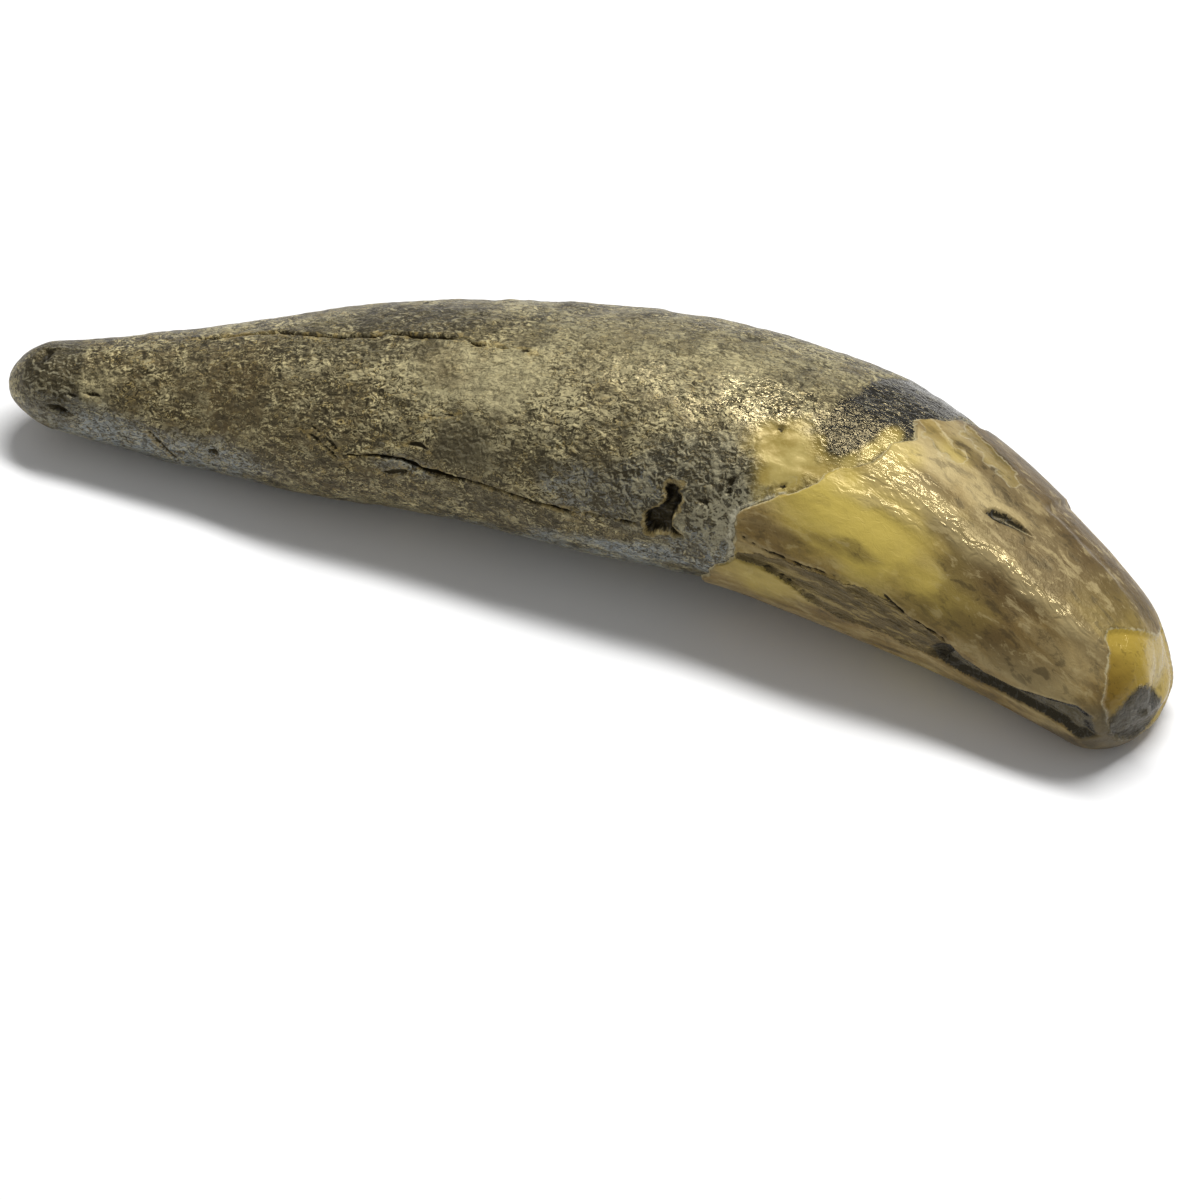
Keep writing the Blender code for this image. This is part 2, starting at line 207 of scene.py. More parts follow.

# soft-edged stains, some of them partly painted light and shade as noted below: along, around, half length,
# half width in mm, strength
stains = {
    "pale": (
        (1.2, 140, 2.2, 3.2, 0.8), (8.4, 131, 3.4, 2, 0.9), (46.6, 108, 7.5, 4, 1),
        (42, 121, 3.2, 2.6, 0.8), (53.3, 116, 5, 3.2, 0.8), (34.7, 104, 6, 2.2, 0.85),
        (64.8, 77, 7, 2.4, 0.7), (57, 72, 7, 2.6, 0.5), (77.8, 66, 4, 2.4, 0.5), (49.3, 144, 1.3, 1.5, 1),
        (67, 98, 8, 2.5, 0.4), (30, 300, 9, 4, 0.7), (55, 340, 9, 4, 0.7), (62, 250, 7, 4, 0.6),
    ),
    "brown": (
        (21, 119, 5, 5, 0.9), (5.3, 80, 4, 2.2, 0.8), (32.5, 132, 6, 3.6, 0.7), (34.9, 178, 9, 2.8, 0.8),
        (28, 150, 6, 3, 0.7), (59.7, 139, 2.6, 3.2, 0.6), (42.4, 101, 2, 1.6, 0.8), (17, 134, 5, 3, 0.7),
        (24, 98, 5, 2.2, 0.7), (12, 110, 5, 3, 0.5), (42, 290, 8, 4, 0.8), (16, 330, 7, 3, 0.7),
        (66, 300, 6, 4, 0.7),
    ),
    "dark": (
        (4.6, 122, 2.2, 4.2, 1.6), (5.4, 96, 2.4, 3, 1.5), (5.6, 146, 2.2, 2.8, 1.4), (38, 70, 8.5, 2.8, 1),
        (33.5, 94, 6, 1.4, 0.6), (45.4, 140, 3.2, 3.4, 0.8), (51.2, 147, 3.6, 2, 0.6),
        (60, 148, 4, 3.4, 0.6), (62.3, 114, 3.4, 2, 0.5), (28.6, 93, 3, 1, 0.5), (51, 176, 8, 2, 0.5),
        (20, 255, 6, 3, 0.7), (50, 275, 7, 3, 0.7), (70, 335, 6, 3, 0.8),
    ),
    # blue-grey on the lower side: partly a grey tint, partly a painted reflection of the bright surroundings
    "blueGreyPaintedSheen": (
        (6, 172, 3, 2, 0.8), (12, 178, 7, 2.8, 1), (20, 182, 6, 2.6, 0.8), (66, 187, 9, 1.9, 1),
        (59.3, 158, 5, 3, 0.45), (72, 172, 4, 3, 0.8), (64, 150, 4, 3, 0.3), (40, 160, 3, 1.4, 0.4),
        (14, 210, 9, 4, 0.8), (60, 210, 12, 4, 0.8),
    ),
    "yellow": (
        (88.6, 132, 8, 5.4, 1), (84, 128, 5.5, 4.6, 1), (95, 140, 6, 3.2, 0.75), (86.6, 100, 2.4, 2.6, 0.8),
        # the yellow at 79.1 mm and 178 degrees is held to 0.6 as painted shade on the lower side
        (85, 141, 4.5, 2.6, 0.8), (90.5, 116, 3.6, 1.4, 0.6), (79.1, 178, 5, 2.6, 0.6),
        (90.5, 73, 1.6, 1.2, 0.5), (109.5, 70, 3, 3, 0.4), (108.4, 90, 3, 1.6, 0.4), (95, 230, 8, 4, 0.7),
        (92, 310, 6, 4, 0.6),
    ),
    "tan": (
        (90, 84, 3.4, 2.2, 0.9), (94.8, 84, 4, 1.8, 0.8), (90.2, 62, 3, 1.6, 0.8), (95.4, 66, 4, 1.2, 0.7),
        (99, 78, 4, 1.2, 0.6), (86.4, 86, 1.6, 2.4, 0.8), (92.4, 105, 6, 0.8, 0.5), (108, 156, 5, 1.6, 0.5),
        (110.4, 128, 2.4, 4, 0.45), (96, 262, 5, 4, 0.7), (88, 20, 4, 3, 0.7),
    ),
    "streak": (
        (77.4, 150, 2.2, 1.2, 0.55), (80.6, 150, 3, 0.8, 0.6), (84.6, 145, 2.4, 0.6, 0.5),
        (92.3, 71, 4.2, 0.9, 0.75), (97.6, 72, 3.6, 1.2, 0.8), (91.6, 98, 3.4, 1, 0.6),
        (95.6, 112, 4, 1.8, 0.8), (99.6, 115, 4, 1.6, 0.85), (103, 119, 4.4, 1.9, 0.85),
        (98.8, 97, 4, 1.2, 0.8), (103, 91, 4.6, 2.4, 0.9), (107.2, 104, 3, 1.2, 0.6),
        (101.4, 140, 7, 3.2, 0.6), (106.6, 134, 5, 3, 0.5), (88, 142, 2.8, 0.8, 0.6),
        (96.4, 152, 5, 1.6, 0.5), (105.8, 74, 5, 2.6, 0.8), (97, 52, 8, 2.6, 0.8), (104, 60, 6, 3, 0.9),
        (88, 42, 5, 3, 0.7), (110, 112, 2.6, 1.4, 0.6), (104.6, 84, 5, 2, 0.8), (99, 124, 6, 1.8, 0.8),
        (93, 48, 4, 1, 0.8), (108, 76, 3, 1.4, 0.6), (98, 240, 9, 2, 0.8), (100, 300, 8, 2, 0.8),
        (97, 340, 7, 2, 0.7), (99.2, 44, 7, 2.4, 0.9), (106.9, 50, 5, 2.4, 0.9), (93.1, 29, 5, 3, 0.8),
        (112, 64, 2.6, 1.4, 0.5), (107, 88, 3.6, 2.6, 0.6),
    ),
    # dark grey on the inner and lower side near the tip
    "darkGreyNearTip": (
        (114.8, 174, 2.2, 4.4, 1), (112.6, 204, 4, 2.2, 0.7), (115.2, 235, 1.6, 3.5, 0.9),
    ),
    "gold": (
        (84.4, 99, 1.1, 2.4, 1), (85, 89, 1, 1.8, 0.9), (83.4, 107, 0.9, 1.4, 0.8),
    ),
    "gloss": (
        (74, 96, 7, 2.8, 1), (66.5, 106, 4.5, 2.2, 0.8), (61, 97, 4.5, 2, 0.6), (78.6, 101, 2, 2, 0.7),
        (76, 116, 2.4, 2.2, 0.5), (83, 96, 2, 1.6, 0.3),
    ),
    "calm": (
        (46.6, 108, 7, 3.6, 0.8), (45.4, 140, 3, 3.2, 0.9), (8.4, 131, 3, 2, 0.5), (78, 70, 6, 4, 0.5),
        (64, 74, 12, 5, 0.6), (52, 80, 8, 5, 0.45), (20, 119, 5, 4, 0.45), (24, 140, 7, 3, 0.4),
        (12, 178, 8, 3, 0.25), (64, 188, 9, 2, 0.4), (34, 300, 8, 4, 0.7), (60, 240, 9, 4, 0.6),
    ),
}


def smoothCurve(table, column, at):
    # natural cubic spline through one column of a table, against its first column
    knots = np.array([row[0] for row in table], float)
    values = np.array([row[column] for row in table], float)
    gaps = np.diff(knots)
    matrix, right = np.eye(len(knots)), np.zeros(len(knots))
    for i in range(1, len(knots) - 1):
        matrix[i, i - 1 : i + 2] = gaps[i - 1], 2 * (gaps[i - 1] + gaps[i]), gaps[i]
        right[i] = 6 * ((values[i + 1] - values[i]) / gaps[i] - (values[i] - values[i - 1]) / gaps[i - 1])
    bends = np.linalg.solve(matrix, right)
    k = np.clip(np.searchsorted(knots, at) - 1, 0, len(knots) - 2)
    before = (knots[k + 1] - at) / gaps[k]
    after = (at - knots[k]) / gaps[k]
    bent = (before**3 - before) * bends[k] + (after**3 - after) * bends[k + 1]
    return before * values[k] + after * values[k + 1] + bent * gaps[k] ** 2 / 6


def sCurve(low, high, value):
    # 0 below low, 1 above high, an S between: 3t^2 - 2t^3
    t = np.clip((value - low) / (high - low), 0, 1)
    return t * t * (3 - 2 * t)


def turnTo(around, middle):
    # degrees from middle round to around, from -180 to 180
    return (around - middle + 180) % 360 - 180


def bell(t):
    # 1 at 0, falling to 0 at -1 and 1: (1 - t^2)^2
    return np.clip(1 - t * t, 0, 1) ** 2


hashPrimes = (73856093, 19349663, 83492791)  # one for each axis
hashMixers = (2654435761, 2246822519)
hashMost = 0xFFFFFFFF  # the largest hashed value, 32 bits


def lumpNoise(points, size, seed):
    # smooth noise from -1 to 1: hashed values on a cubic lattice with cells of this size, blended between
    # the corners of each cell
    scaled = points / size + 101.3
    cell = np.floor(scaled).astype(np.int64)
    part = scaled - cell
    part = part * part * (3 - 2 * part)
    total = np.zeros(points.shape[:-1])
    first, second, most = (np.uint64(number) for number in (*hashMixers, hashMost))
    for corner in np.ndindex(2, 2, 2):
        x, y, z = ((cell + corner)[..., k].astype(np.uint64) * np.uint64(hashPrimes[k]) for k in range(3))
        mixed = ((x ^ y ^ z) + np.uint64(seed * 7919)) * first & most
        mixed = (mixed ^ mixed >> np.uint64(15)) * second & most
        value = (mixed ^ mixed >> np.uint64(13)).astype(float) / hashMost
        total += value * np.prod(np.where(corner, part, 1 - part), axis=-1)
    return 2 * total - 1


def roughNoise(points, size, seed, layers=3):
    # lumpNoise in layers, each half the size and half the height of the one before
    return sum(lumpNoise(points, size / 2**k, seed + 17 * k) / 2**k for k in range(layers))


def edgeAt(around):
    # how far along the enamel's edge runs: straight lines between the places of its table
    edge = np.array(enamelEdge + ((360 + enamelEdge[0][0], enamelEdge[0][1]),), float)
    return np.interp(around, edge[:, 0], edge[:, 1])


def domes(along, whole):
    # what the half width is multiplied by: (1 - (1 - t)^p)^(1/p) over each end, t from 0 at the end to 1
    total = 1
    for (length, power), reach in ((tooth["rootDome"], along), (tooth["tipDome"], whole - along)):
        total = total * (1 - (1 - np.clip(reach / length, 0, 1)) ** power) ** (1 / power)
    return total


def layGrid():
    # The smooth tooth: oval sections square to the bowed centreline. A point is
    # centre + halfWidth cos(around) * outer way + halfThickness sin(around) * up.
    # Rows are closer on the crown and closest at the enamel's edge, and bend with it. Columns are closer on
    # the upper side and closest along the two long cracks, and bend with them.
    x = np.linspace(*tooth["ends"], 4001)
    y = smoothCurve(tooth["stations"], 1, x)
    length = np.concatenate([[0], np.cumsum(np.hypot(np.diff(x), np.diff(y)))])
    width = smoothCurve(tooth["stations"], 2, x)
    share = smoothCurve(tooth["thickness"], 1, x)
    rounded = width * domes(length, length[-1])
    profile = np.concatenate([[0], np.cumsum(np.hypot(np.diff(length), np.diff(rounded)))])
    neck, closer = tooth["neck"], tooth["closer"]
    wanted = 1 + closer["crown"] * sCurve(56, 64, length)
    wanted = wanted + closer["edge"] * np.exp(-(((length - neck - 0.2) / 1.1) ** 2))
    weight = np.concatenate([[0], np.cumsum(0.5 * (wanted[1:] + wanted[:-1]) * np.diff(profile))])
    step = np.interp(np.linspace(0, weight[-1], tooth["rows"]), weight, profile)

    fine = np.linspace(0, 360, 7201)
    wanted = 1 + closer["top"] * sCurve(5, 30, fine) * (1 - sCurve(190, 215, fine))
    for middle in tooth["crackAround"]:
        wanted = wanted + closer["crack"] * np.exp(-(((fine - middle) / 1.6) ** 2))
    turn = np.concatenate([[0], np.cumsum(0.5 * (wanted[1:] + wanted[:-1]))])
    around = np.interp(np.linspace(0, turn[-1], tooth["columns"], endpoint=False), turn, fine)[None, :]

    along = np.interp(step, profile, length)[:, None]
    fromTip = (profile[-1] - step)[:, None]
    for crack, middle in zip((longCrack, lowerCrack), tooth["crackAround"]):
        places = np.array(crack)
        shift = np.interp(along, places[:, 0], places[:, 1]) - middle
        fade = sCurve(2, 14, along) * (1 - sCurve(66, 80, along))
        around = around + shift * fade * bell((around - middle) / 30)
    ring = np.radians(around)
    circle = np.stack([np.cos(ring) * 11, np.sin(ring) * 11, 0 * ring], axis=-1)
    wander, wanderLength = tooth["edgeRagged"]
    ragged = wander * roughNoise(circle, wanderLength, 21) * (1 - 0.5 * sCurve(200, 240, around))
    near = sCurve(45, neck, along) * (1 - sCurve(neck, 110, along))
    along = along + (edgeAt(around) + ragged - neck) * near
    pastEdge = along - edgeAt(around) - ragged

    across = np.interp(along, length, width)
    share = np.interp(along, length, share)
    wayX = np.interp(along, length, np.gradient(x, length))
    wayY = np.interp(along, length, np.gradient(y, length))
    rowX, rowY = np.interp(along, length, x), np.interp(along, length, y)
    lift, liftFrom, liftLength = tooth["rootLift"]
    middleZ = across * share + lift * np.clip((liftFrom - rowX) / liftLength, 0, 1) ** 2
    across = across * domes(along, length[-1])
    outer, upper = across * np.cos(ring), across * share * np.sin(ring)
    points = np.stack([rowX - outer * wayY, rowY + outer * wayX, middleZ + upper], axis=-1)
    return {
        "points": points,
        "along": along,
        "around": around,
        "fromTip": fromTip + 0 * around,
        "radius": np.interp(along, length, width),
        "outer": outer,
        "upper": upper,
        "pastEdge": pastEdge,
        "girth": (length, width),
    }


def outwardWay(points):
    # unit normals of the grid: the way round crossed with the way along; the end rows are single points
    alongWay = np.gradient(points, axis=0)
    roundWay = np.roll(points, -1, axis=1) - np.roll(points, 1, axis=1)
    normal = np.cross(roundWay, alongWay)
    normal[0], normal[-1] = points[0, 0] - points[2].mean(axis=0), points[-1, 0] - points[-3].mean(axis=0)
    return normal / np.linalg.norm(normal, axis=2, keepdims=True)


def insideFlat(x, y, cornerX, cornerY):
    # signed distance to a closed outline: least distance to its edges, above 0 inside by counting crossings
    nearest, inside = np.full(x.shape, 1e9), np.zeros(x.shape, bool)
    for ax, ay, bx, by in zip(cornerX, cornerY, np.roll(cornerX, -1), np.roll(cornerY, -1)):
        ex, ey = bx - ax, by - ay
        t = np.clip(((x - ax) * ex + (y - ay) * ey) / (ex * ex + ey * ey), 0, 1)
        nearest = np.minimum(nearest, np.hypot(x - ax - t * ex, y - ay - t * ey))
        level = ey if ey else 1.0
        inside ^= ((ay > y) != (by > y)) & (x < ax + (y - ay) * ex / level)
    return np.where(inside, nearest, -nearest)


def unroll(grid, places, middle):
    # mm along and mm round the surface, for the grid and for the given places, measured from the middle angle
    placeAlong, placeAround = (np.array([place[k] for place in places], float) for k in (0, 1))
    placeRadius = np.interp(placeAlong, *grid["girth"])
    x, y = grid["along"], np.radians(turnTo(grid["around"], middle)) * grid["radius"]
    return x, y, placeAlong, np.radians(turnTo(placeAround, middle)) * placeRadius


def insideOutline(grid, outline):
    # how far inside an outline on the surface each point is, in mm; below 0 outside it
    return insideFlat(*unroll(grid, outline, outline[0][1]))


def nearCrack(grid, crack):
    # how deep in a crack each point is, in mm: the crack's half width there, less the distance to its line
    x, y, lineX, lineY = unroll(grid, crack, crack[0][1])
    y = y + 0.16 * roughNoise(grid["points"], 1.3, 79)
    best = np.full(x.shape, -1e9)
    for k in range(len(crack) - 1):
        ex, ey = lineX[k + 1] - lineX[k], lineY[k + 1] - lineY[k]
        t = np.clip(((x - lineX[k]) * ex + (y - lineY[k]) * ey) / (ex * ex + ey * ey), 0, 1)
        half = crack[k][2] + (crack[k + 1][2] - crack[k][2]) * t
        best = np.maximum(best, half - np.hypot(x - lineX[k] - t * ex, y - lineY[k] - t * ey))
    return best


def stainAt(grid, spots, warp, soft=0.5):
    # 0 to 1: the strongest of soft ovals, each 1 inside and fading over its edge, its reach warped by noise
    best = np.zeros(grid["along"].shape)
    for along, around, halfLength, halfWidth, strength in spots:
        x = (grid["along"] - along) / halfLength
        y = np.radians(turnTo(grid["around"], around)) * grid["radius"] / halfWidth
        best = np.maximum(best, strength * (1 - sCurve(soft, 1.85 - soft, np.hypot(x, y) + 0.45 * warp)))
    return best


def shapeTooth():
    # The dressed surface: the smooth tooth, moved along its outward way by rise, which adds up the waves,
    # steps, ridges, pits and cracks, in mm. The marks say where each finish goes: distances to outlines,
    # above 0 inside, or strengths from 0 to 1.
    grid = layGrid()
    smooth, along, around = grid["points"], grid["along"], grid["around"]
    marks = {}
    pastEdge = grid["pastEdge"] + 0.16 * roughNoise(smooth, 0.9, 35)
    enamel = sCurve(-0.05, 0.4, pastEdge)
    waist, waistLength = tooth["waist"]
    rise = sum(height * lumpNoise(smooth, size, seed) for height, size, seed in relief["waves"])
    rise += tooth["enamelRise"] * enamel - waist * sCurve(-waistLength, 1, pastEdge)

    # the root's skin is uneven, the enamel nearly smooth with long low waves
    warp = roughNoise(smooth, 3.0, 31)
    lumps = relief["rootLumps"] * lumpNoise(smooth, 3.2, 7) + relief["rootGrain"] * roughNoise(smooth, 1.4, 9)
    rise += (1 - enamel) * lumps
    across = [grid["outer"], grid["upper"]]
    drawnOut, stretched = (np.stack([along * share + 0 * around, *across], axis=-1) for share in (0.55, 0.22))
    worn = sCurve(0.25, 0.75, roughNoise(drawnOut, 1.0, 10, 2))
    rise -= (1 - enamel) * relief["rootWear"] * worn * sCurve(0.0, 0.4, lumpNoise(smooth, 5.0, 14) + 0.3)
    waves = relief["enamelWaves"] * lumpNoise(stretched, 2.4, 12)
    rise += enamel * (waves + relief["enamelGrain"] * roughNoise(smooth, 1.1, 13))

    # low mound of crumbs on the root side of the enamel's edge, thickest near the big pit
    high, middle, half = relief["crumbs"]
    crumbs = bell((pastEdge + 0.35) / 0.7) * (0.12 + 0.88 * bell(turnTo(around, middle) / half))
    rise += crumbs * high * np.abs(roughNoise(smooth, 0.9, 41))
    marks["crumbs"] = crumbs
    marks["cellZone"] = bell((pastEdge + 2.6) / 3.6) * bell(turnTo(around, 152) / 32)
    marks["warm"] = 1 - sCurve(14, 40, along + 6 * warp)
    # darker brown on the lower side: partly burial stain, partly painted shade
    marks["under"] = sCurve(128, 172, around + 14 * warp) * (1 - sCurve(290, 330, around))

    # ridge along the crown's upper face, with a narrow crest on it, and a lesser one below it at the neck
    for width, *places in ridges:
        table = np.array(places, float).T
        middle, height = np.interp(along, table[0], table[1]), np.interp(along, table[0], table[2])
        off = turnTo(around, middle) / width
        rise += height * (np.exp(-(off**2)) - 0.45 * np.exp(-((off / 2.4) ** 2)))
    crest = turnTo(around, np.interp(along, *np.array(crestPath, float).T)) + 4 * warp
    crestWidth = 20 - 10 * sCurve(86, 95, along)
    marks["crest"] = bell(crest / crestWidth) * sCurve(84, 86, along) * (1 - sCurve(108, 113, along))
    lesser = turnTo(around, 119) + 3 * warp
    marks["crest"] = np.maximum(marks["crest"], bell(lesser / 5) * bell((along - 88) / 7))

    # where the enamel is gone
    rough = roughNoise(smooth, 1.0, 51)
    strip = insideOutline(grid, bareStrip) + 0.18 * rough
    deep, uneven = relief["bareStrip"]
    rise -= sCurve(-0.1, 0.35, strip) * (deep + uneven * rough)
    cut = insideOutline(grid, groove) + 0.10 * rough
    rise -= sCurve(-0.25, 0.8, cut) * relief["groove"]
    marks["strip"], marks["groove"] = strip, cut

    ring = np.radians(around)
    outerWay, upWay = grid["fromTip"] * np.cos(ring), grid["fromTip"] * np.sin(ring)
    chip = insideFlat(outerWay, upWay, *np.array(tipChip, float).T) + 0.14 * rough
    stain = insideFlat(outerWay, upWay, *np.array(tipStain, float).T) + 0.3 * roughNoise(smooth, 1.6, 55)
    deep, uneven = relief["chip"]
    rise -= sCurve(-0.10, 0.30, chip) * (deep + uneven * rough)
    marks["chip"], marks["tipStain"] = chip, stain
    for name, (outMiddle, upMiddle, upShare, full, gone, wander) in tipGlow.items():
        away = np.hypot(outerWay - outMiddle, (upWay - upMiddle) * upShare)
        marks[name] = 1 - sCurve(full, gone, away + wander * warp)
    deep, middle, half, fade, gone = relief["wornTip"]
    beside = 1 - sCurve(0.2, 1.0, np.abs(turnTo(around, middle)) / half)
    rise -= deep * beside * sCurve(0, 3, grid["fromTip"]) * (1 - sCurve(fade, gone, grid["fromTip"]))

    # flakes off the enamel: thin, with a sharp edge on the root side
    scar = np.full(along.shape, -9.0) + 0 * around
    for outline in flakeScars:
        scar = np.maximum(scar, insideOutline(grid, outline))
    scar = scar + 0.55 * rough
    rise -= relief["scar"] * sCurve(-0.05, 0.15, scar) * enamel
    marks["scar"] = scar
    wander = 0.5 * roughNoise(smooth, 3.0, 61)
    deep, middle, half, start, fade, gone = relief["flake"]
    spread = np.abs(turnTo(around, middle)) / half + 0.1 * wander
    flaked = sCurve(start - 0.3, start + 0.3, along + wander) * (1 - sCurve(fade, gone, along))
    rise -= deep * flaked * (1 - sCurve(0.85, 1.0, spread))

    # pits and cracks
    pit = insideOutline(grid, bigPit) + 0.28 * rough + 0.22 * lumpNoise(smooth, 0.7, 73) + 0.1
    deep, uneven = relief["bigPit"]
    rise -= sCurve(-0.12, 0.45, pit) * (deep + uneven * lumpNoise(smooth, 0.8, 71))
    rise += relief["pitLip"] * bell((pit + 0.35) / 0.45)
    marks["eroded"] = pit
    for outline in smallPits:
        small = insideOutline(grid, outline) + 0.06 * rough
        rise -= sCurve(-0.15, 0.3, small) * relief["smallPit"]
        pit = np.maximum(pit, small)
    marks["pit"] = pit
    crack = np.full(along.shape, -9.0) + 0 * around
    ragged = 0.10 * roughNoise(smooth, 0.6, 81, 2) - 0.12 * sCurve(0.0, 0.5, lumpNoise(smooth, 1.9, 83))
    lines = [(longCrack, relief["longCrack"]), (lowerCrack, relief["lowerCrack"])]
    lines += [(line, relief["shortCrack"]) for line in shortCracks + crownCracks]
    for line, depth in lines:
        deep = nearCrack(grid, line) + ragged
        rise -= depth * sCurve(-0.14, 0.12, deep) * np.clip((deep + 0.3) / 0.3, 0, 1)
        rise += relief["crackLip"] * bell((deep + 0.45) / 0.4)
        crack = np.maximum(crack, deep)
    marks["crack"] = crack

    marks["pastEdge"] = pastEdge
    marks["neckStain"] = insideOutline(grid, neckStain) + 0.45 + 0.6 * roughNoise(smooth, 2.4, 91)
    marks["dentine"] = insideOutline(grid, dentinePatch) + 0.7 * roughNoise(smooth, 2.6, 93)
    marks["mottle"] = insideOutline(grid, darkMottle) + 0.9 * roughNoise(smooth, 3.0, 95)
    for name, spots in stains.items():
        onCrown = name in ("yellow", "tan")
        marks[name] = stainAt(grid, spots, warp * (0.6 if onCrown else 1), 0.25 if onCrown else 0.5)
    far = 1 - bell(np.clip(turnTo(around, 112) / 100, -1, 1)) ** 0.3  # the side away from the spots above
    for name, seed in (("pale", 101), ("brown", 103), ("dark", 105)):
        marks[name] = np.maximum(marks[name], 0.7 * far * sCurve(0.1, 0.6, roughNoise(smooth, 9.0, seed, 2)))
    flow = np.stack([along + 0 * around, *across], axis=-1)

    points = smooth + outwardWay(smooth) * rise[..., None]
    points[..., 2] = np.maximum(points[..., 2], tooth["restCut"]) - tooth["restCut"]
    return points, marks, flow


def closeMesh(name, points, marks, flow):
    # quads between the rings, a fan at each end; the first and last rows are each one point
    ring, columns = points[1:-1], points.shape[1]
    vertices = np.concatenate([ring.reshape(-1, 3), points[:1].mean(axis=1), points[-1:].mean(axis=1)])
    low, high = vertices.min(axis=0), vertices.max(axis=0)
    boxLow, boxHigh = (np.array(corner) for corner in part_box("tooth"))
    vertices[:, :2] -= (low[:2] + high[:2]) / 2
    vertices *= 0.001
    vertices[:, :2] += (boxLow[:2] + boxHigh[:2]) / 2
    vertices[:, 2] += boxLow[2]
    rows = len(ring)
    here = np.arange(rows * columns).reshape(rows, columns)
    beside = np.roll(here, -1, axis=1)
    quads = np.stack([here[:-1], beside[:-1], beside[1:], here[1:]], axis=-1).reshape(-1, 4)
    rootFan = np.stack([np.full(columns, rows * columns), beside[0], here[0]], axis=-1)
    tipFan = np.stack([np.full(columns, rows * columns + 1), here[-1], beside[-1]], axis=-1)
    mesh = bpy.data.meshes.new(name)
    mesh.from_pydata(vertices.tolist(), [], quads.tolist() + rootFan.tolist() + tipFan.tolist())
    for mark, values in marks.items():
        flat = np.concatenate([values[1:-1].ravel(), [values[0].mean(), values[-1].mean()]])
        mesh.attributes.new(mark, "FLOAT", "POINT").data.foreach_set("value", flat.astype(np.float32))
    flat = np.concatenate([flow[1:-1].reshape(-1, 3), flow[:1].mean(axis=1), flow[-1:].mean(axis=1)])
    flat = flat.astype(np.float32).ravel()
    mesh.attributes.new("flow", "FLOAT_VECTOR", "POINT").data.foreach_set("vector", flat)
    mesh.update()
    mesh.shade_smooth()
    piece = bpy.data.objects.new(name, mesh)
    bpy.context.scene.collection.objects.link(piece)
    return piece


toothSurface = closeMesh("toothSurface", *shapeTooth())
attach(toothSurface, "root")
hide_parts("tooth")
print("tooth surface laid:", len(toothSurface.data.polygons), "faces")


def linear(code):
    # sRGB hex to linear light
    parts = np.array([int(code[k : k + 2], 16) / 255 for k in (1, 3, 5)])
    parts = np.where(parts <= 0.04045, parts / 12.92, ((parts + 0.055) / 1.055) ** 2.4)
    return (*parts.tolist(), 1.0)


def addNode(tree, kind, settings=None, links=None, out=0):
    # adds a node, sets its fields or sockets, links other nodes' sockets into it, and hands back one output
    node = tree.nodes.new("ShaderNode" + kind)
    for key, value in (settings or {}).items():
        value = linear(value) if isinstance(value, str) and value.startswith("#") else value
        if isinstance(key, int) or key in node.inputs:
            node.inputs[key].default_value = value
        else:
            setattr(node, key, value)
    for key, socket in (links or {}).items():
        tree.links.new(socket, node.inputs[key])
    return node.outputs[out]


finish = {
    # root
    "root": "#736b50",
    "rootPale": "#a59c78",
    "rootWarm": "#4c402a",
    "rootBrown": "#453823",
    "rootGrey": "#5f5f52",
    "rootDark": "#332f25",
    # blue-grey of the lower side: partly a grey tint, partly a painted reflection of the bright surroundings
    "rootBluePaintedSheen": "#868e91",
    # fleck is also laid as painted light on the grains
    "fleck": "#cabd8e",
    "fleckWarm": "#b09a60",
    # the dark of pits, cracks, specks and dashes, also laid as painted shade on the grains
    "poreAndGrainShade": "#12100b",
    "mottle": "#353633",
    # mottleFleck is also laid as painted light on the grains
    "mottleFleck": "#a09b82",
    "neckBlack": "#15171b",
    "dentine": "#9a8644",
    "dentinePale": "#b8a765",
    "crumb": "#b9b49c",
    # crown
    "enamel": "#7b6539",
    "enamelPale": "#b1a074",
    "enamelYellow": "#bfaa52",
    "enamelStreak": "#4b3b24",
    "enamelDeep": "#352b1c",
    "enamelRim": "#c6bb95",
    "stripBrown": "#4f432b",
    "stripLine": "#2a251c",
    "grooveDark": "#1f1f20",
    "grooveGrey": "#4b4b4a",
    "tipYellow": "#a68d3b",
    # painted shade: the chip darkens to amber towards its lower left
    "tipAmberPaintedShade": "#6b5119",
    "tipCream": "#b9aa7c",
    "tipDark": "#0b0c0f",
    "tipGrey": "#6a6d70",
}
